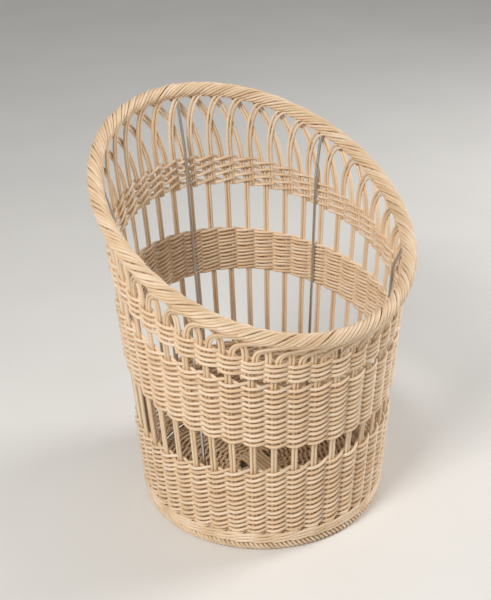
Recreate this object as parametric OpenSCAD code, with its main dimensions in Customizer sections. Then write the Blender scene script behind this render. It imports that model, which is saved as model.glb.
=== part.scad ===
// Bread basket woven from round cream strands, with a welded steel wire frame inside.
// The wall is one cone that leans out a little. The weave leaves two open stretches:
// one between the lower and the upper band, where the upper edge climbs to the back,
// and one under the rim, where pairs of strands arch over to the next place: the outer
// pairs bend on around the basket, and the inner pairs bend back.
// The origin is on the floor at the middle of the foot. +Y is the high back, -Y the low front.

/* [Wall] */
// Radius of the outside of the wall at the floor
base_r = 155; // [140:1:180]
// Growth of the wall's radius for each millimetre of height
wall_flare = 0.0713; // [0.04:0.005:0.1]
// Number of stake pairs around the wall
station_count = 42; // [36:2:48]

/* [Strands] */
// Diameter of one woven strand
strand_d = 3.8; // [3.2:0.1:4.2]
// Diameter of a base stick
base_stick_d = 4.6; // [4:0.1:5.2]

/* [Foot] */
// Radius of the plaited border under the wall
border_r = 8.4; // [7.5:0.1:10]
// Height of the border's centre line, less than its radius so that it stands on a flat ring
border_z = 8; // [7:0.1:8.2]
// Height of the top of the waling rows above the border
waling_top_z = 30; // [26:1:36]

/* [Edges of the bands] */
// Height of the lower band's top edge at the axis
lower_top_z = 124; // [110:1:135]
// Rise of the lower band's top edge across the basket
lower_top_rise = 0.04; // [0:0.01:0.1]
// Height of the upper band's bottom edge at the axis
upper_bottom_z = 194; // [185:1:205]
// Rise of the upper band's bottom edge across the basket
upper_bottom_rise = 0.237; // [0.15:0.01:0.25]
// Height of the upper band's top edge at the axis
upper_top_z = 264; // [255:1:272]
// Rise of the upper band's top edge across the basket
upper_top_rise = 0.188; // [0.15:0.01:0.25]
// Height of the collar's bottom edge at the axis
collar_bottom_z = 299; // [294:1:304]
// Rise of the collar's bottom edge across the basket
collar_bottom_rise = 0.336; // [0.3:0.01:0.36]
// Height of the collar's top edge at the axis
collar_top_z = 329; // [324:1:334]
// Rise of the collar's top edge across the basket
collar_top_rise = 0.381; // [0.35:0.01:0.4]

/* [Rim] */
// Height of the rim's centre line at the axis
rim_z = 383; // [375:1:395]
// Rise of the rim's centre line across the basket
rim_rise = 0.515; // [0.48:0.01:0.55]
// Radius of the rope-like rim
rim_rope_r = 9; // [8:0.5:10]

/* [Wire frame] */
// Diameter of the steel wire
wire_d = 4; // [3:0.5:5]
// Number of upright wires
upright_count = 6; // [4:1:8]

/* [Base] */
// Height of the middle of the base sticks
base_z = 13.7; // [13:0.1:15]
// Outer radius of the woven base
base_weave_r = 137; // [120:1:138]

/* [Hidden] */
$fn = 48;

cream = [0.87, 0.76, 0.60];
tan = [0.80, 0.66, 0.47];
steel = [0.74, 0.74, 0.73];

// Directions, seen from above, in which the edges of the bands climb
lower_top_way = -34;
upper_bottom_way = 84;
upper_top_way = 104;
back = 90;
front = -90;

// The weave is a strand, a stake and a strand thick
weave_t = 3 * strand_d;
stake_inset = weave_t / 2;
station_angle = 360 / station_count;
// The two strands of a pair lie a hair apart
pair_offset = strand_d / 2 + 0.15;
flare_angle = atan(wall_flare);
big = 600;

// The wire frame stands just inside the weave
wire_r = wire_d / 2;
wire_inset = weave_t + wire_r + 0.2;
foot_ring_z = base_z + weave_t / 2 + wire_r + 0.5;

// The waling bulges a little past the wall
waling_bulge = 0.8;
waling_foot_z = border_z + 0.75 * border_r;

stake_foot_z = border_z;
// A pair's arch ends this far below the middle of the rim
end_depth = 5;

// The first pair stands this far round from the front, as a share of the spacing
first_station = 0.55;
// In the collar the full-height pairs step aside by the first angle. The shorter pairs start
// below it at the second angle on the other side, and leave it at the third.
outer_turn = 0.24 * station_angle;
inner_foot_turn = 0.33 * station_angle;
inner_turn = 0.21 * station_angle;
arch_reach = 25;
arch_tail = 4;
// How far the outer arches lean out and the inner ones in, to pass each other
outer_lean = 5;
inner_lean = -1;
// A slight knuckle joins the straight lengths of a strand or wire to its bend
knuckle = 0.1;
leg_gap = 0.5;

// Base sticks cross in the middle, and evenly spaced spokes carry on from them
sticks_across = 5;
sticks_along = 6;
spoke_count = 2 * (sticks_across + sticks_along);
spoke_angle = 360 / spoke_count;
spoke_start_r = 34;
spoke_r = 143;
cross_half = 28;
cross_pitch = base_stick_d + 0.8;
weave_hole_r = 26;

// Outside radius of the wall at height z
function wall_r(z) = base_r + wall_flare * z;

// Height at which a sloping edge meets a cone that lies `inset` inside the wall, at angle `a`
function edge_z(level, rise, way, a, inset = 0) =
    (level + rise * (base_r - inset) * cos(a - way)) / (1 - rise * wall_flare * cos(a - way));

function collar_low(a) = edge_z(collar_bottom_z, collar_bottom_rise, back, a, stake_inset);
function collar_high(a) = edge_z(collar_top_z, collar_top_rise, back, a, stake_inset);
function rim_height(a) = edge_z(rim_z, rim_rise, back, a);

// The point at angle a and height z, `inset` inside the wall, moved `side` along the wall
function wall_point(a, z, inset, side = 0) =
    let (r = wall_r(z) - inset)
    [r * cos(a) - side * sin(a), r * sin(a) + side * cos(a), z];

function station(i) = front + (i + first_station) * station_angle;

// The rim's centre line is the ellipse in which its plane cuts the wall
rim_low_z = rim_height(front);
rim_high_z = rim_height(back);
rim_mid_y = (wall_r(rim_high_z) - wall_r(rim_low_z)) / 2;
rim_mid_z = (rim_high_z + rim_low_z) / 2;
rim_long = norm([wall_r(rim_high_z) + wall_r(rim_low_z), rim_high_z - rim_low_z]) / 2;
rim_wide = sqrt(pow(wall_r(rim_mid_z), 2) - pow(rim_mid_y, 2));
// Four arcs that meet on the diagonals stand for the ellipse
oval_shift = (rim_long - rim_wide) / (2 - sqrt(2));
oval_end_r = rim_long - oval_shift;
oval_side_r = rim_wide + oval_shift;

// Straight round rod from point a to point b
module rod(a, b, r) {
    way = b - a;
    translate(a)
        rotate([0, acos(way.z / norm(way)), atan2(way.y, way.x)])
            cylinder(h = norm(way), r = r);
}

// Everything above the plane that crosses the axis at `level` and climbs by `rise` towards `way`
module above(level, rise, way) {
    translate([0, 0, level])
        rotate([0, -atan(rise), way])
            translate([-big, -big, 0])
                cube([2 * big, 2 * big, 2 * big]);
}

// Cone-shaped shell of the weave between two heights
module wall_shell(z_low, z_high, outset = 0, t = weave_t) {
    rotate_extrude()
        polygon([
            [wall_r(z_low) + outset - t, z_low],
            [wall_r(z_low) + outset, z_low],
            [wall_r(z_high) + outset, z_high],
            [wall_r(z_high) + outset - t, z_high]
        ]);
}

// Closed tube of radius r along the rim's oval
module rim_tube(r) {
    translate([0, rim_mid_y, rim_mid_z])
        rotate([atan(rim_rise), 0, 0])
            for (turn = [0, 180]) {
                rotate([0, 0, turn])
                    translate([0, oval_shift, 0])
                        rotate([0, 0, 45])
                            rotate_extrude(angle = 90)
                                translate([oval_end_r, 0])
                                    circle(r = r);
                rotate([0, 0, turn])
                    translate([-oval_shift, 0, 0])
                        rotate([0, 0, -45])
                            rotate_extrude(angle = 90)
                                translate([oval_side_r, 0])
                                    circle(r = r);
            }
}

// Crossed sticks in two layers hold the middle, and spokes stand out around them
module base_sticks() {
    r = base_stick_d / 2;
    layer = r + 0.1;
    color(tan) {
        for (i = [0 : sticks_across - 1]) {
            y = (i - (sticks_across - 1) / 2) * cross_pitch;
            rod([-cross_half, y, base_z - layer], [cross_half, y, base_z - layer], r);
        }
        for (i = [0 : sticks_along - 1]) {
            x = (i - (sticks_along - 1) / 2) * cross_pitch;
            rod([x, -cross_half, base_z + layer], [x, cross_half, base_z + layer], r);
        }
        for (i = [0 : spoke_count - 1])
            rotate([0, 0, i * spoke_angle])
                rod([spoke_start_r, 0, base_z], [spoke_r, 0, base_z], r);
    }
}

module base_weave() {
    color(tan)
        translate([0, 0, base_z - weave_t / 2])
            difference() {
                cylinder(h = weave_t, r = base_weave_r);
                translate([0, 0, -1])
                    cylinder(h = weave_t + 2, r = weave_hole_r);
            }
}

module foot_ring() {
    color(steel)
        translate([0, 0, foot_ring_z])
            rotate_extrude()
                translate([wall_r(foot_ring_z) - wire_inset, 0])
                    circle(r = wire_r);
}

// Upright wires, each just right of a stake pair, bent out to the rim ring above the collar
module uprights() {
    bend_above_collar = 8;
    wire_side = 6.5;
    color(steel)
        for (j = [1 : upright_count]) {
            a = station(round(station_count * j / upright_count - 0.6));
            bend_z = collar_high(a) + bend_above_collar;
            bend = wall_point(a, bend_z, wire_inset, wire_side);
            rod(wall_point(a, foot_ring_z, wire_inset, wire_side), bend, wire_r);
            rod(bend, wall_point(a, rim_height(a) - wire_r, wire_r, wire_side), wire_r);
            translate(bend)
                sphere(r = wire_r + knuckle);
        }
}

module rim_ring() {
    color(steel)
        rim_tube(wire_r);
}

// One strand from its foot up to where it leaves the collar at angle a, and on through its arch.
// It bends towards `way`, 1 for on around the basket and -1 for back, and leans out on the way up.
module arch_strand(foot, a, way, half, lean_out) {
    // slope of the rim along the bend, which brings the strand level with the rim
    slope = atan(way * rim_rise * cos(a + way * station_angle / 2));
    bend = 90 - slope;
    mid_r = arch_reach / (1 - sin(slope));
    end_z = rim_height(a + way * station_angle) - end_depth;
    start_z = end_z - mid_r * sin(bend);
    above_collar = end_z - collar_high(a);
    inset = stake_inset - lean_out * (start_z - collar_high(a)) / above_collar;
    start = wall_point(a, start_z, inset, half * pair_offset);
    leg = start - foot;
    r = mid_r - way * half * pair_offset;
    rod(foot, start - leg * leg_gap / norm(leg), strand_d / 2);
    translate(start) {
        sphere(r = strand_d / 2 + knuckle);
        rotate([0, 0, a + 90])
            rotate([flare_angle + atan(lean_out / above_collar), 0, 0])
                translate([way * r, 0, 0])
                    rotate([90, 0, 0])
                        rotate([0, 0, way > 0 ? 180 - bend : 0])
                            rotate_extrude(angle = bend)
                                translate([r, 0])
                                    circle(r = strand_d / 2);
    }
}

// Pairs of strands that stand all the way from the foot border to the outer arches
module stakes() {
    color(cream)
        for (i = [0 : station_count - 1], half = [-1, 1]) {
            a = station(i);
            side = half * pair_offset;
            knee = wall_point(a, collar_low(a), stake_inset, side);
            rod(wall_point(a, stake_foot_z, stake_inset, side), knee, strand_d / 2);
            translate(knee)
                sphere(r = strand_d / 2 + knuckle);
            arch_strand(knee, a + outer_turn, 1, half, outer_lean);
        }
}

// Plaited border under the wall, flat where it stands
module foot_border() {
    border_mid_r = base_r - border_r;
    color(cream)
        difference() {
            rotate_extrude()
                translate([border_mid_r, border_z])
                    circle(r = border_r);
            translate([0, 0, -2 * border_r])
                cylinder(h = 2 * border_r, r = base_r + border_r);
        }
}

module foot_waling() {
    color(cream)
        wall_shell(waling_foot_z, waling_top_z, waling_bulge, weave_t + 2 * waling_bulge);
}

module lower_band() {
    color(cream)
        difference() {
            wall_shell(waling_top_z, lower_top_z + 0.2 * base_r);
            above(lower_top_z, lower_top_rise, lower_top_way);
        }
}

module upper_band() {
    reach = 0.4 * base_r;
    color(cream)
        difference() {
            intersection() {
                wall_shell(upper_bottom_z - reach, upper_top_z + reach);
                above(upper_bottom_z, upper_bottom_rise, upper_bottom_way);
            }
            above(upper_top_z, upper_top_rise, upper_top_way);
        }
}

module collar_band() {
    reach = 0.6 * base_r;
    color(cream)
        difference() {
            intersection() {
                wall_shell(collar_bottom_z - reach, collar_top_z + reach);
                above(collar_bottom_z, collar_bottom_rise, back);
            }
            above(collar_top_z, collar_top_rise, back);
        }
}

// Shorter pairs that start under the collar and make the inner arches
module arch_stakes() {
    color(cream)
        for (i = [0 : station_count - 1], half = [-1, 1]) {
            a = station(i);
            foot_z = collar_low(a) - arch_tail;
            foot = wall_point(a - inner_foot_turn, foot_z, stake_inset, half * pair_offset);
            arch_strand(foot, a - inner_turn, -1, half, inner_lean);
        }
}

module rim_rope() {
    color(cream)
        rim_tube(rim_rope_r);
}

base_sticks();
base_weave();
foot_ring();
uprights();
rim_ring();
stakes();
foot_border();
foot_waling();
lower_band();
upper_band();
collar_band();
arch_stakes();
rim_rope();
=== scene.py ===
from collections import namedtuple
import math

import bpy
import numpy as np
from mathutils import Matrix, Vector


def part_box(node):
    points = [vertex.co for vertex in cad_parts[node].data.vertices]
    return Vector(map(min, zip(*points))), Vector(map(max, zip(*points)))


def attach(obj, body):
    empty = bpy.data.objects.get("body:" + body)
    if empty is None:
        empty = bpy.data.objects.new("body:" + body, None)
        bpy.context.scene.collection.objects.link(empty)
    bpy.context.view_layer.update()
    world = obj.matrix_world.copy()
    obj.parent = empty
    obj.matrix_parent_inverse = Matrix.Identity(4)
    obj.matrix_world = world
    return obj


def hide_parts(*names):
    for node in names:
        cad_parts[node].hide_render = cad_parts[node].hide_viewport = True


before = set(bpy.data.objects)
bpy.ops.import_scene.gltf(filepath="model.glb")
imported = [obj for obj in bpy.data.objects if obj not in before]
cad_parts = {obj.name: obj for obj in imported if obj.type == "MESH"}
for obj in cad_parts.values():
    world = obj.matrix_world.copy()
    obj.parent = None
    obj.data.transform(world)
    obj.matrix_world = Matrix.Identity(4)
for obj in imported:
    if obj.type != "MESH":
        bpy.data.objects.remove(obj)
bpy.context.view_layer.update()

MM = 0.001
TURN = 2 * math.pi
# The strands and the stations, which are the places of the stake pairs around the wall
STATIONS = 42
STEP = TURN / STATIONS
FIRST_STATION = 0.55
STRAND_R = 1.9 * MM
PAIR_HALF = 1.95 * MM
STAKE_INSET = 5.7 * MM
WEAVE_SWING = 3.8 * MM
SIDES = 8
SEED = 44

# ---------------------------------------------------------------- the wall, from the frame


def node_points(name):
    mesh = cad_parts[name].data
    co = np.empty(len(mesh.vertices) * 3)
    mesh.vertices.foreach_get("co", co)
    return co.reshape(-1, 3)


def fit_plane(points):
    """(c, gx, gy) of the plane z = c + gx x + gy y through the points."""
    sheet = np.column_stack([np.ones(len(points)), points[:, 0], points[:, 1]])
    return np.linalg.lstsq(sheet, points[:, 2], rcond=None)[0]


def edge_plane(points, side):
    """The plane of a band's top edge where side is 1, or of its bottom edge where it is -1."""
    place = np.floor(np.arctan2(points[:, 1], points[:, 0]) / TURN * STATIONS).astype(int)
    picked = []
    for k in np.unique(place):
        here = points[place == k]
        picked.append(here[(side * here[:, 2]).argmax()])
    plane = fit_plane(np.array(picked))
    for reach in (4 * MM, 1.5 * MM, 0.5 * MM):
        plane = fit_plane(points[np.abs(points[:, 2] - plane_z(plane, points)) < reach])
    return plane


def edge_planes(name):
    """The planes of a band's bottom and top edge."""
    points = node_points(name)
    return edge_plane(points, -1), edge_plane(points, 1)


def plane_z(plane, points):
    return plane[0] + plane[1] * points[:, 0] + plane[2] * points[:, 1]


def widest(name, low):
    """Height and radius of the outermost point at the bottom or the top of a band."""
    points = node_points(name)
    z = points[:, 2]
    at = z < z.min() + 0.5 * MM if low else z > z.max() - 0.5 * MM
    found = points[at]
    radius = np.hypot(found[:, 0], found[:, 1])
    best = radius.argmax()
    return found[best, 2], radius[best]


low_z, low_r = widest("lower_band", True)
high_z, high_r = widest("collar_band", False)
WALL_K = (high_r - low_r) / (high_z - low_z)
WALL_R0 = low_r - WALL_K * low_z
LOWER_EDGES = edge_planes("lower_band")
UPPER_EDGES = edge_planes("upper_band")
COLLAR_EDGES = edge_planes("collar_band")
RIM_PLANE = fit_plane(node_points("rim_ring"))


def wall_z(plane, a, inset=STAKE_INSET):
    """Height at which the plane meets the cone `inset` inside the wall, at azimuth a."""
    g = plane[1] * np.cos(a) + plane[2] * np.sin(a)
    return (plane[0] + (WALL_R0 - inset) * g) / (1 - WALL_K * g)


def azimuth(u):
    """Azimuth of the place u, counted in stations."""
    return -TURN / 4 + (u + FIRST_STATION) * STEP


def polar(a, r, z, side=0.0):
    return np.stack([
        r * np.cos(a) - side * np.sin(a),
        r * np.sin(a) + side * np.cos(a),
        z + 0 * a
    ], axis=-1)


def wall(a, z, inset, side=0.0):
    return polar(a, WALL_R0 + WALL_K * z - inset, z, side)


def outward(a):
    return np.stack([np.cos(a), np.sin(a), 0 * a], axis=-1)


def unit(v):
    return v / np.linalg.norm(v, axis=-1, keepdims=True)


def dot(a, b):
    return (a * b).sum(-1, keepdims=True)


# ---------------------------------------------------------------- strands

rng = np.random.default_rng(SEED)

# A strand's end narrows to one share of its radius, another share of a radius past the cut
CAP_SHARE = 0.68
CAP_REACH = 0.35

# The bake map lays the strands out in rows, each a little higher than the way round a strand
AROUND = TURN * STRAND_R
ROW_SHARE = 1.25
ROW_MARGIN = 0.1
CAP_SPOT = 0.3


def wander(u, size, period=STATIONS):
    """A smooth random drift of about `size` along the places u."""
    values = rng.normal(0, size, period)
    at = np.mod(u, period)
    i = np.floor(at).astype(int) % period
    t = smooth(at - np.floor(at))
    return values[i] * (1 - t) + values[(i + 1) % period] * t


def smooth(t):
    """A soft step from 0 to 1."""
    return t * t * (3 - 2 * t)


def quad_map(s0, s1, w0, w1):
    """Map places of each quad's four corners, from its ends s and its sides w."""
    s0, s1, w0, w1 = np.broadcast_arrays(s0, s1, w0, w1)
    return np.stack([s0, w0, s0, w1, s1, w1, s1, w0], -1).reshape(-1, 2)


def new_mesh(name, verts, loops, sizes):
    mesh = bpy.data.meshes.new(name)
    mesh.vertices.add(len(verts))
    mesh.vertices.foreach_set("co", verts.ravel().astype(np.float32))
    mesh.loops.add(len(loops))
    mesh.loops.foreach_set("vertex_index", loops.astype(np.int32))
    mesh.polygons.add(len(sizes))
    starts = np.concatenate([[0], np.cumsum(sizes)[:-1]])
    mesh.polygons.foreach_set("loop_start", starts.astype(np.int32))
    mesh.polygons.foreach_set("use_smooth", np.ones(len(sizes), bool))
    mesh.update(calc_edges=True)
    return mesh


class Strands:
    """Round strands that become one mesh, with a bake map and a map along the strands."""

    def __init__(self, name, slot, node):
        self.name, self.slot, self.node = name, slot, node
        self.rings, self.lengths, self.closed, self.tones = [], [], [], []

    def add(self, points, facing, radius=STRAND_R, closed=False):
        """One strand along the points; `facing` is the direction of the first side of its rings."""
        points = np.asarray(points, float)
        facing = np.broadcast_to(np.asarray(facing, float), points.shape)
        if closed:
            way = np.roll(points, -1, 0) - np.roll(points, 1, 0)
        else:
            way = np.gradient(points, axis=0)
        way = unit(way)
        n1 = unit(facing - dot(facing, way) * way)
        n2 = np.cross(way, n1)
        radii = np.full(len(points), radius)
        if not closed:
            cap = CAP_REACH * radius
            points = np.vstack([points[0] - cap * way[0], points, points[-1] + cap * way[-1]])
            n1 = np.vstack([n1[:1], n1, n1[-1:]])
            n2 = np.vstack([n2[:1], n2, n2[-1:]])
            radii = np.concatenate([[CAP_SHARE * radius], radii, [CAP_SHARE * radius]])
        turn = (np.arange(SIDES) / SIDES + 0.5) * TURN
        across = np.cos(turn)[None, :, None] * n1[:, None] + np.sin(turn)[None, :, None] * n2[:, None]
        gaps = np.linalg.norm(np.roll(points, -1, 0) - points, axis=1)
        self.lengths.append(gaps if closed else gaps[:-1])
        self.rings.append(points[:, None] + radii[:, None, None] * across)
        self.closed.append(closed)
        self.tones.append(rng.random())

    def bake_rows(self):
        """Scale of the bake map, and the usable width of its rows, at which all strands fit."""
        total = sum(gaps.sum() for gaps in self.lengths)
        longest_quad = max(gaps.max() for gaps in self.lengths)
        scale = 1 / math.sqrt(total * AROUND * ROW_SHARE)
        while True:
            usable = 1 - longest_quad * scale
            rows = math.ceil(total * scale / usable) + 1
            if rows * AROUND * scale * ROW_SHARE <= 1:
                return scale, usable
            scale *= 0.99

    def make(self, material):
        """Joins the strands into one piece."""
        scale, usable = self.bake_rows()
        row_height = AROUND * scale * ROW_SHARE
        k = np.arange(SIDES)
        loops, sizes, bake, along = [], [], [], []
        base = 0
        run = 0.0
        for ring, gaps, closed, tone in zip(self.rings, self.lengths, self.closed, self.tones):
            n = len(ring)
            i = np.arange(len(gaps))[:, None]
            j = (i + 1) % n
            beside = (k[None] + 1) % SIDES
            quads = [i * SIDES + k[None], i * SIDES + beside, j * SIDES + beside, j * SIDES + k[None]]
            loops.append((np.stack(quads, axis=-1) + base).reshape(-1))
            sizes.append(np.full(len(gaps) * SIDES, 4))

            start = run + np.concatenate([[0], np.cumsum(gaps)[:-1]])
            row = np.floor(start * scale / usable)
            left = start * scale - row * usable
            low = (row + ROW_MARGIN) * row_height
            bake.append(quad_map(
                left[:, None], (left + gaps * scale)[:, None],
                low[:, None] + k[None] / SIDES * AROUND * scale,
                low[:, None] + (k[None] + 1) / SIDES * AROUND * scale
            ))
            along.append(quad_map(
                (start + tone)[:, None], (start + gaps + tone)[:, None],
                k[None] / SIDES, k[None] / SIDES + 1 / SIDES
            ))
            if not closed:
                spot = CAP_SPOT * AROUND * scale
                for cap, at, q in ((k[::-1], 0, 0), (k, n - 1, -1)):
                    angle = cap / SIDES * TURN
                    loops.append(cap + at * SIDES + base)
                    sizes.append([SIDES])
                    bake.append(np.column_stack([
                        left[q] + spot + spot * np.cos(angle),
                        low[q] + 0.5 * AROUND * scale + spot * np.sin(angle)
                    ]))
                    along.append(np.column_stack([
                        start[q] + tone + STRAND_R * np.cos(angle), 0.5 + 0.2 * np.sin(angle)
                    ]))
            base += n * SIDES
            run += gaps.sum()

        verts = np.vstack([ring.reshape(-1, 3) for ring in self.rings])
        mesh = new_mesh(self.name, verts, np.concatenate(loops), np.concatenate(sizes).astype(int))
        for name, places in (("OFBake", bake), ("Strand", along)):
            layer = mesh.uv_layers.new(name=name)
            layer.data.foreach_set("uv", np.vstack(places).ravel().astype(np.float32))
        tones = [np.full(len(ring) * SIDES, tone) for ring, tone in zip(self.rings, self.tones)]
        attribute = mesh.attributes.new("tone", "FLOAT", "POINT")
        attribute.data.foreach_set("value", np.concatenate(tones).astype(np.float32))
        mesh.validate()
        mesh.materials.append(material)
        piece = bpy.data.objects.new(self.name, mesh)
        bpy.context.scene.collection.objects.link(piece)
        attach(piece, "root")
        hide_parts(self.node)


# ---------------------------------------------------------------- materials


def new_material(name):
    material = bpy.data.materials.new(name)
    material.use_nodes = True
    tree = material.node_tree
    return material, tree, tree.nodes["Principled BSDF"]


def object_place(tree):
    return tree.nodes.new("ShaderNodeTexCoord").outputs["Object"]


def ramp(tree, stops):
    node = tree.nodes.new("ShaderNodeValToRGB")
    elements = node.color_ramp.elements
    while len(elements) < len(stops):
        elements.new(0.5)
    for element, (position, colour) in zip(elements, stops):
        element.position = position
        element.color = (*colour, 1)
    return node


def noise(tree, vector, scale, detail=3.0, roughness=0.5):
    node = tree.nodes.new("ShaderNodeTexNoise")
    node.inputs["Scale"].default_value = scale
    node.inputs["Detail"].default_value = detail
    node.inputs["Roughness"].default_value = roughness
    tree.links.new(vector, node.inputs["Vector"])
    return node.outputs["Fac"]


def maths(tree, operation, a, b):
    node = tree.nodes.new("ShaderNodeMath")
    node.operation = operation
    for socket, value in zip(node.inputs, (a, b)):
        if isinstance(value, (int, float)):
            socket.default_value = value
        else:
            tree.links.new(value, socket)
    return node.outputs[0]


def scaled(tree, vector, scale):
    node = tree.nodes.new("ShaderNodeMapping")
    node.inputs["Scale"].default_value = scale
    tree.links.new(vector, node.inputs["Vector"])
    return node.outputs["Vector"]


def colour_from(tree, shader, pattern, stops):
    colours = ramp(tree, stops)
    tree.links.new(pattern, colours.inputs["Fac"])
    tree.links.new(colours.outputs["Color"], shader.inputs["Base Color"])


def surface_from(tree, shader, pattern, smoothest, roughest, strength, depth):
    """Roughness and a fine bump that follow the pattern."""
    rough = tree.nodes.new("ShaderNodeMapRange")
    rough.inputs["To Min"].default_value = smoothest
    rough.inputs["To Max"].default_value = roughest
    tree.links.new(pattern, rough.inputs["Value"])
    tree.links.new(rough.outputs["Result"], shader.inputs["Roughness"])
    bump = tree.nodes.new("ShaderNodeBump")
    bump.inputs["Strength"].default_value = strength
    bump.inputs["Distance"].default_value = depth
    tree.links.new(pattern, bump.inputs["Height"])
    tree.links.new(bump.outputs["Normal"], shader.inputs["Normal"])


def strand_material(name, dark, middle, light):
    """Smooth round strand with faint streaks along it and a tone of its own."""
    material, tree, shader = new_material(name)
    uv = tree.nodes.new("ShaderNodeUVMap")
    uv.uv_map = "Strand"
    tone = tree.nodes.new("ShaderNodeAttribute")
    tone.attribute_name = "tone"
    streaks = noise(tree, scaled(tree, uv.outputs["UV"], (60, 9, 1)), 1.0, 4.0, 0.6)
    patches = noise(tree, object_place(tree), 28, 3.0, 0.55)
    mixed = maths(tree, "ADD", maths(tree, "MULTIPLY", streaks, 0.5), maths(tree, "MULTIPLY", patches, 0.3))
    mixed = maths(tree, "ADD", mixed, maths(tree, "MULTIPLY", tone.outputs["Fac"], 0.26))
    colour_from(tree, shader, mixed, [(0.28, dark), (0.52, middle), (0.78, light)])
    surface_from(tree, shader, streaks, 0.30, 0.52, 0.25, 0.3 * MM)
    shader.inputs["Specular IOR Level"].default_value = 0.5
    return material


def steel_material():
    """Drawn steel wire with fine marks along it."""
    material, tree, shader = new_material("steel_wire_brushed")
    marks = noise(tree, scaled(tree, object_place(tree), (900, 900, 60)), 1.0, 4.0, 0.6)
    colour_from(tree, shader, marks, [(0.3, (0.46, 0.46, 0.46)), (0.7, (0.68, 0.68, 0.67))])
    surface_from(tree, shader, marks, 0.22, 0.42, 0.15, 0.2 * MM)
    shader.inputs["Metallic"].default_value = 1.0
    return material


def floor_material():
    """Plain pale floor."""
    material, tree, shader = new_material("studio_floor")
    cloud = noise(tree, object_place(tree), 3)
    colour_from(tree, shader, cloud, [(0.3, (0.80, 0.79, 0.77)), (0.7, (0.84, 0.83, 0.81))])
    shader.inputs["Roughness"].default_value = 0.7
    return material


cream = strand_material("rattan_cream", (0.66, 0.46, 0.27), (0.80, 0.60, 0.40), (0.90, 0.74, 0.57))
tan = strand_material("rattan_base", (0.58, 0.39, 0.22), (0.72, 0.53, 0.34), (0.80, 0.63, 0.45))
steel = steel_material()

# ---------------------------------------------------------------- woven bands

LOWER_ROWS = 13
UPPER_ROWS = 12
COLLAR_ROWS = 4
BAND_SAMPLES = 12

# A strand's path in its row, in rows: its mean height, its dip on each stake and its slant
ROW_DROP = -0.15
ROW_DIP = 0.25
ROW_SLANT = 0.20

# How far past a stake the strand is furthest out, in stations, and its lean to the outside
CROSS_LAG = 0.12
FRONT_SHARE = 0.1

# How unevenly the rows, and the strands in them, lie up and down, and in and out
ROW_DRIFT = 0.25 * MM
HEIGHT_DRIFT = 0.28 * MM
DEPTH_DRIFT = 0.15 * MM

# How hard a strand bends round the stakes: the collar's, with more room, bend harder
BAND_BEND = 0.6
COLLAR_BEND = 1.2
BAND_LIFT = -1.5 * MM


def swing_of(c, bend):
    """Place between the inside, -1, and the outside, 1, with flats that grow with the bend."""
    return np.tanh(bend * c) / math.tanh(bend)


def woven_band(name, node, edges, rows, bend, lift=0.0):
    """Rows of two strands that twist round each other between the stake pairs."""
    band = Strands(name, "rattan", node)
    u = np.arange(STATIONS * BAND_SAMPLES) / BAND_SAMPLES
    a = azimuth(u)
    bottom, top = wall_z(edges[0], a) + lift, wall_z(edges[1], a)
    pitch = (top - bottom) / rows
    for row in range(rows):
        level = wander(u, ROW_DRIFT)
        for first in (0, 1):
            turn = math.pi * (u + first)
            height = ROW_DROP - ROW_DIP * np.cos(turn) + ROW_SLANT * np.sin(turn)
            swing = swing_of(np.cos(turn - math.pi * CROSS_LAG) + FRONT_SHARE, bend)
            z = bottom + (row + 0.5 + height) * pitch + level + wander(u, HEIGHT_DRIFT)
            inset = STAKE_INSET - WEAVE_SWING * swing + wander(u, DEPTH_DRIFT)
            band.add(wall(a, z, inset), outward(a), closed=True)
    band.make(cream)


woven_band("lower_weave", "lower_band", LOWER_EDGES, LOWER_ROWS, BAND_BEND)
woven_band("upper_weave", "upper_band", UPPER_EDGES, UPPER_ROWS, BAND_BEND, BAND_LIFT)
woven_band("collar_weave", "collar_band", COLLAR_EDGES, COLLAR_ROWS, COLLAR_BEND, BAND_LIFT)

# ---------------------------------------------------------------- rope rim and arches

# Angles in the rope are in degrees: 0 is outside, 90 on top, 180 inside and 270 below
ROPE_R = 7.2 * MM
ROPE_STEP = 0.3 * MM
ROPE_PITCH = 2.75
WRAP_POINTS = 40
WRAP_DRIFT = 0.03
STRAND_DRIFT = 0.12 * MM
TUCK = 25
TUCK_R = 3.5 * MM

CORE_R = 3.9 * MM
CORE_STRANDS = 6
CORE_TURNS = 4
CORE_SAMPLES = 5

ARCH_POINTS = 16
ARCH_MIN_RISE = 12 * MM
ARRIVE_STEP = 2.0

# A family of arches: where its pair's two strands cross the rope's bottom, in stations, the angles
# where they join the rope and end in it, which way they go, and the crown's place and bend
ArchFamily = namedtuple("ArchFamily", "lines join wrap_end way crown handles")
OUTER = ArchFamily(lines=(1.05, 1.30), join=-15, wrap_end=250, way=1, crown=0.6, handles=(0.7, 0.38))
INNER = ArchFamily(lines=(-3.45, -3.20), join=220, wrap_end=-70, way=-1, crown=-0.3, handles=(0.7, 0.5))

# Where the two pairs of a station stand in the collar, in stations
OUTER_PAIR_SHIFT = 0.24
OUTER_PAIR_LEAN = 0.8 * MM
INNER_PAIR_SHIFT = -0.21
INNER_PAIR_FOOT = -0.31
STUB = 4 * MM
STAKE_FOOT_Z = 8 * MM


def rim_centre(u):
    a = azimuth(u)
    return wall(a, wall_z(RIM_PLANE, a, 0), 0)


def rim_line(u):
    """Centre of the rope at the place u, and its outward and upward directions."""
    small = 0.01
    way = unit(rim_centre(u + small) - rim_centre(u - small))
    out = outward(azimuth(u))
    out = unit(out - dot(out, way) * way)
    up = np.cross(way, out)
    up = up * np.sign(up[..., 2:3])
    return rim_centre(u), out, up


def rope_point(u, psi, rho):
    """The point of the rope at the angle psi and the radius rho, and its ray from the centre."""
    centre, out, up = rim_line(u)
    psi = np.radians(psi)
    rho = np.broadcast_to(rho, psi.shape)
    ray = np.cos(psi)[..., None] * out + np.sin(psi)[..., None] * up
    return centre + rho[..., None] * ray, ray


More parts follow.
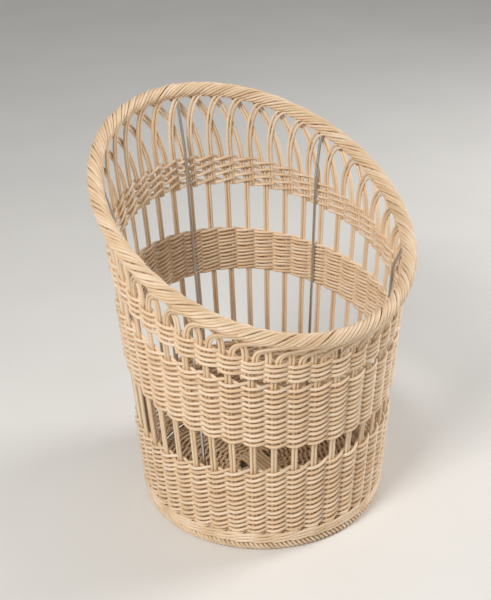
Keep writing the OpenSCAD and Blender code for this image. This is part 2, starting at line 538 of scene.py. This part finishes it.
def line_u(u0, psi):
    """Where the wrap that passes the rope's bottom at u0 has come to the angle psi."""
    return u0 + (psi + 90) / 360 * ROPE_PITCH


def wrap(u0, family):
    """One strand that wraps the rope from its arch on and tucks its end under."""
    t = np.linspace(0, 1, WRAP_POINTS)
    tuck = family.way * TUCK
    psi = family.join + (family.wrap_end + tuck - family.join) * t
    u0 = u0 + rng.normal(0, WRAP_DRIFT) * np.clip(6 * t, 0, 1)
    past = np.clip((psi - family.wrap_end) / tuck, 0, 1)
    laid = ROPE_R + family.way * ROPE_STEP
    rho = laid - (laid - TUCK_R) * past ** 2
    rho = rho + wander(t * 6, STRAND_DRIFT, 7) * (t > 0.05)
    rho[0] *= 0.97
    points, ray = rope_point(line_u(u0, psi), psi, rho)
    rope_piece.add(points, ray)


def bezier(p0, p1, p2, p3, count):
    t = np.linspace(0, 1, count)[:, None]
    return (1 - t) ** 3 * p0 + 3 * t * (1 - t) ** 2 * p1 + 3 * t ** 2 * (1 - t) * p2 + t ** 3 * p3


def arch(leg, j, u0, family):
    """The leg's points, and those of its arch from the leg's top to its place in the rope."""
    top, climb = leg[-1], unit(leg[-1] - leg[-3])
    psi = np.array([family.join, family.join + ARRIVE_STEP * family.way])
    (end, there), _ = rope_point(line_u(u0, psi), psi, ROPE_R)
    arrive = unit(there - end)
    crown_z = rim_line(np.array([j + family.crown]))[0][0][2]
    rise = max(crown_z - top[2] - ROPE_R, ARCH_MIN_RISE)
    across = np.linalg.norm((end - top)[:2])
    leave_by, arrive_by = family.handles[0] * rise, family.handles[1] * across
    bent = bezier(top, top + leave_by * climb, end - arrive_by * arrive, end, ARCH_POINTS)
    return np.vstack([leg, bent[1:]])


def outer_strand(j, half, collar_low, collar_high):
    """A full-height stake strand, which bends on over the next places and wraps the rope."""
    z = np.concatenate([
        np.linspace(STAKE_FOOT_Z, collar_low, 10), np.linspace(collar_low, collar_high, 6)[1:]
    ])
    climb = np.clip((z - collar_low) / (collar_high - collar_low), 0, 1)
    a = azimuth(j + OUTER_PAIR_SHIFT * smooth(climb))
    side = half * PAIR_HALF + wander(np.linspace(0, 5, len(z)), STRAND_DRIFT, 7)
    leg = wall(a, z, STAKE_INSET - OUTER_PAIR_LEAN * climb, side)
    u0 = j + OUTER.lines[half > 0]
    stake_piece.add(arch(leg, j, u0, OUTER), outward(azimuth(j)))
    wrap(u0, OUTER)


def inner_strand(j, half, collar_low, collar_high):
    """A short strand, which starts under the collar, bends back inside and wraps the rope."""
    z = np.linspace(collar_low - STUB, collar_high, 7)
    climb = np.clip((z - collar_low) / (collar_high - collar_low), 0, 1)
    a = azimuth(j + INNER_PAIR_FOOT + (INNER_PAIR_SHIFT - INNER_PAIR_FOOT) * climb)
    leg = wall(a, z, STAKE_INSET, half * PAIR_HALF)
    u0 = j + INNER.lines[half > 0]
    arch_piece.add(arch(leg, j, u0, INNER), outward(azimuth(j)))
    wrap(u0, INNER)


def rope_core():
    """Strands laid round the rim ring, under the wraps."""
    u = np.arange(STATIONS * CORE_SAMPLES) / CORE_SAMPLES
    for i in range(CORE_STRANDS):
        psi = 360 * i / CORE_STRANDS + 360 / (STATIONS / CORE_TURNS) * u
        points, ray = rope_point(u, psi, CORE_R)
        rope_piece.add(points, ray, closed=True)


stake_piece = Strands("stake_pairs", "rattan", "stakes")
arch_piece = Strands("arch_pairs", "rattan", "arch_stakes")
rope_piece = Strands("rope_rim", "rattan", "rim_rope")
for station in range(STATIONS):
    collar_span = [wall_z(edge, azimuth(station)) for edge in COLLAR_EDGES]
    for pair_side in (-1, 1):
        outer_strand(station, pair_side, *collar_span)
        inner_strand(station, pair_side, *collar_span)
rope_core()
stake_piece.make(cream)
arch_piece.make(cream)
rope_piece.make(cream)

# ---------------------------------------------------------------- foot

FOOT_ROPE_R = 6.5 * MM
FOOT_Z = FOOT_ROPE_R + STRAND_R
FOOT_R = WALL_R0 - FOOT_ROPE_R - STRAND_R

# The plait: each strand goes from the inside over the top and the outside to the bottom
PLAIT_PER_STATION = 4
PLAIT_PITCH = 1.5
PLAIT_START = 200
PLAIT_SWEEP = 330
PLAIT_END = 0.1
PLAIT_TUCK = 3.2 * MM
PLAIT_POINTS = 26

# The waling: strands that pass outside two stakes and inside one
WALE_STRANDS = 3
WALE_TURNS = 3
WALE_START = 26
WALE_SAMPLES = 8
WALE_BEND = 2.2
WALE_FRONT_SHARE = 0.35
WALE_STEP_UP = 0.06
WALE_SLANT = 0.30
WALE_DIP = 0.2
WALE_EXTRA = 0.5 * MM
WALE_TOP_GAP = 1.6 * MM
WALE_TUCK = 3.0 * MM
WALE_HEIGHT_DRIFT = 0.35 * MM
WALE_DEPTH_DRIFT = 0.25 * MM


def foot_plait():
    plait = Strands("foot_plait", "rattan", "foot_border")
    t = np.linspace(0, 1, PLAIT_POINTS)
    psi = np.radians(PLAIT_START - PLAIT_SWEEP * t)
    past = (np.clip(t - 1 + PLAIT_END, 0, 1) + np.clip(PLAIT_END - t, 0, 1)) / PLAIT_END
    for j in range(STATIONS * PLAIT_PER_STATION):
        rho = FOOT_ROPE_R - PLAIT_TUCK * past ** 2 + wander(t * 5, STRAND_DRIFT, 6)
        a = azimuth(j / PLAIT_PER_STATION + PLAIT_SWEEP / 360 * PLAIT_PITCH * t)
        points = polar(a, FOOT_R + rho * np.cos(psi), FOOT_Z + rho * np.sin(psi))
        points[:, 2] = np.maximum(points[:, 2], STRAND_R)
        ray = np.cos(psi)[:, None] * outward(a) + np.sin(psi)[:, None] * np.array([0, 0, 1.0])
        plait.add(points, ray)
    plait.make(cream)


def foot_waling():
    waling = Strands("foot_wale", "rattan", "foot_waling")
    low = FOOT_Z + FOOT_ROPE_R + 0.2 * STRAND_R
    _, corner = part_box("foot_waling")
    pitch = (corner.z - WALE_TOP_GAP - low) / WALE_TURNS
    u = np.arange(WALE_TURNS * STATIONS * WALE_SAMPLES + 1) / WALE_SAMPLES
    turn = u / STATIONS
    whole = np.floor(turn)
    step = smooth(np.clip((turn - whole - 1 + WALE_STEP_UP) / WALE_STEP_UP, 0, 1))
    level = np.minimum(whole + step, WALE_TURNS - 1)
    phase = TURN * (u + 0.5) / WALE_STRANDS
    c = np.cos(phase)
    swing = swing_of(c + WALE_FRONT_SHARE, WALE_BEND)
    slant = WALE_SLANT * np.sin(phase) - WALE_DIP * c
    tucked = WALE_TUCK * np.clip(1 - np.minimum(u, u[-1] - u), 0, 1)
    for first in range(WALE_STRANDS):
        a = azimuth(u + WALE_START + first)
        z = low + (level + 0.5 + slant) * pitch + wander(u, WALE_HEIGHT_DRIFT, WALE_TURNS * STATIONS)
        inset = STAKE_INSET - (WEAVE_SWING + WALE_EXTRA) * swing
        inset = inset + wander(u, WALE_DEPTH_DRIFT, WALE_TURNS * STATIONS)
        waling.add(wall(a, z, inset + tucked), outward(a))
    waling.make(cream)


foot_plait()
foot_waling()

# ---------------------------------------------------------------- base

SPOKES = 22
SPOKE_STEP = TURN / SPOKES
STICK_R = 2.3 * MM
STICK_PITCH = 5.4 * MM
STICKS_ACROSS = 5
STICKS_ALONG = 6
STICK_POINTS = 90

# Where the crossed sticks start to splay, are spread out and have come to one level
SPLAY_FROM = 30 * MM
SPLAY_TO = 44 * MM
LEVEL_FROM = 46 * MM
LEVEL_OVER = 16 * MM

RING_PITCH = 7.2 * MM
RING_SWING = 4.1 * MM
RING_BEND = 1.6
RING_INNER_R = 31 * MM
RING_EDGE = 3 * MM
RING_SAMPLES = 8
RING_SLANT = 0.22
RING_DIP = 0.2
RING_HEIGHT_DRIFT = 0.15 * MM
RING_RADIUS_DRIFT = 0.3 * MM

weave_low, weave_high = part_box("base_weave")
BASE_Z = (weave_low.z + weave_high.z) / 2


def stick_line(offset, reach):
    """A stick's line in plan: straight over the cross, then out along its own spoke each way."""
    angle = offset * SPOKE_STEP
    side = offset * STICK_PITCH
    half = [(0.0, side), (0.6 * SPLAY_FROM, side), (SPLAY_FROM, side * 1.05)]
    half += [(r * math.cos(angle), r * math.sin(angle)) for r in np.linspace(SPLAY_TO, reach, 7)]
    half = np.array(half)
    line = np.vstack([half[::-1] * (-1, 1), half[1:]])
    knots = np.concatenate([[0], np.cumsum(np.linalg.norm(np.diff(line, axis=0), axis=1))])
    fine = np.linspace(0, knots[-1], STICK_POINTS)
    x, y = np.interp(fine, knots, line[:, 0]), np.interp(fine, knots, line[:, 1])
    for _ in range(3):
        x[1:-1] = (x[:-2] + 2 * x[1:-1] + x[2:]) / 4
        y[1:-1] = (y[:-2] + 2 * y[1:-1] + y[2:]) / 4
    return x, y


def base_rods():
    rods = Strands("base_rods", "rattan_tan", "base_sticks")
    _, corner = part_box("base_sticks")
    for count, layer in ((STICKS_ACROSS, -1), (STICKS_ALONG, 1)):
        for i in range(count):
            x, y = stick_line(i - (count - 1) / 2, corner.x)
            raised = np.clip((LEVEL_FROM - np.abs(x)) / LEVEL_OVER, 0, 1)
            z = BASE_Z + layer * (STICK_R + 0.1 * MM) * raised
            if layer > 0:
                x, y = -y, x
            rods.add(np.column_stack([x, y, z]), (0, 0, 1), STICK_R)
    rods.make(tan)


def base_rings():
    rings = Strands("base_rings", "rattan_tan", "base_weave")
    u = np.arange(SPOKES * RING_SAMPLES) / RING_SAMPLES
    a = u * SPOKE_STEP
    for row in range(int((weave_high.x - RING_INNER_R) / RING_PITCH) + 1):
        r = weave_high.x - RING_EDGE - row * RING_PITCH
        for first in (0, 1):
            c = np.cos(math.pi * (u + first))
            s = np.sin(math.pi * (u + first))
            z = BASE_Z + RING_SWING * swing_of(c, RING_BEND) + wander(u, RING_HEIGHT_DRIFT, SPOKES)
            radius = r + RING_PITCH * (RING_SLANT * s - RING_DIP * c) + wander(u, RING_RADIUS_DRIFT, SPOKES)
            rings.add(polar(a, radius, z), (0, 0, 1), closed=True)
    rings.make(tan)


base_rods()
base_rings()

# ---------------------------------------------------------------- wire frame

for wire_name in ("uprights", "foot_ring", "rim_ring"):
    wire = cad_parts[wire_name]
    wire.data.materials.clear()
    wire.data.materials.append(steel)

# ---------------------------------------------------------------- studio

FLOOR_SIZE = 16
SKY_STRENGTH = 0.33
KEY_WATTS = 42
FILL_WATTS = 36
MIDDLE = (0, 0, 0.25)

# Where the camera stands, what it looks at, and its tilt and lens
EYE = Vector((-0.6269, -0.9190, 0.8227))
TARGET = Vector((-0.0141, 0.0096, 0.2619))
ROLL = math.radians(-1.5)
LENS = 61.1
SENSOR = 36


def add_floor():
    bpy.ops.mesh.primitive_plane_add(size=FLOOR_SIZE, location=(0, 0, 0))
    floor = bpy.context.object
    floor.name = "studio_floor"
    floor.data.materials.append(floor_material())


def add_sky():
    world = bpy.data.worlds.new("studio")
    world.use_nodes = True
    sky = world.node_tree.nodes["Background"].inputs
    sky["Color"].default_value = (1.0, 0.99, 0.97, 1)
    sky["Strength"].default_value = SKY_STRENGTH
    bpy.context.scene.world = world


def add_light(name, place, size, power, colour):
    light = bpy.data.lights.new(name, "AREA")
    light.shape = "DISK"
    light.size = size
    light.energy = power
    light.color = colour
    lamp = bpy.data.objects.new(name, light)
    lamp.location = place
    lamp.rotation_euler = (Vector(MIDDLE) - Vector(place)).to_track_quat("-Z", "Y").to_euler()
    bpy.context.scene.collection.objects.link(lamp)


def add_camera():
    forward = (TARGET - EYE).normalized()
    right = forward.cross(Vector((0, 0, 1))).normalized()
    above = right.cross(forward)
    tilted_right = right * math.cos(ROLL) + above * math.sin(ROLL)
    tilted_up = -right * math.sin(ROLL) + above * math.cos(ROLL)
    lens = bpy.data.cameras.new("photo_view")
    lens.lens = LENS
    lens.sensor_width = SENSOR
    camera = bpy.data.objects.new("photo_view", lens)
    pose = Matrix((tilted_right, tilted_up, -forward)).transposed().to_4x4()
    pose.translation = EYE
    camera.matrix_world = pose
    bpy.context.scene.collection.objects.link(camera)
    bpy.context.scene.camera = camera


add_floor()
add_sky()
add_light("key", (-1.8, -0.7, 1.9), 0.9, KEY_WATTS, (1.0, 0.98, 0.95))
add_light("fill", (2.2, -0.6, 1.3), 1.0, FILL_WATTS, (1.0, 0.98, 0.96))
add_camera()
bpy.context.scene.view_settings.view_transform = "Standard"
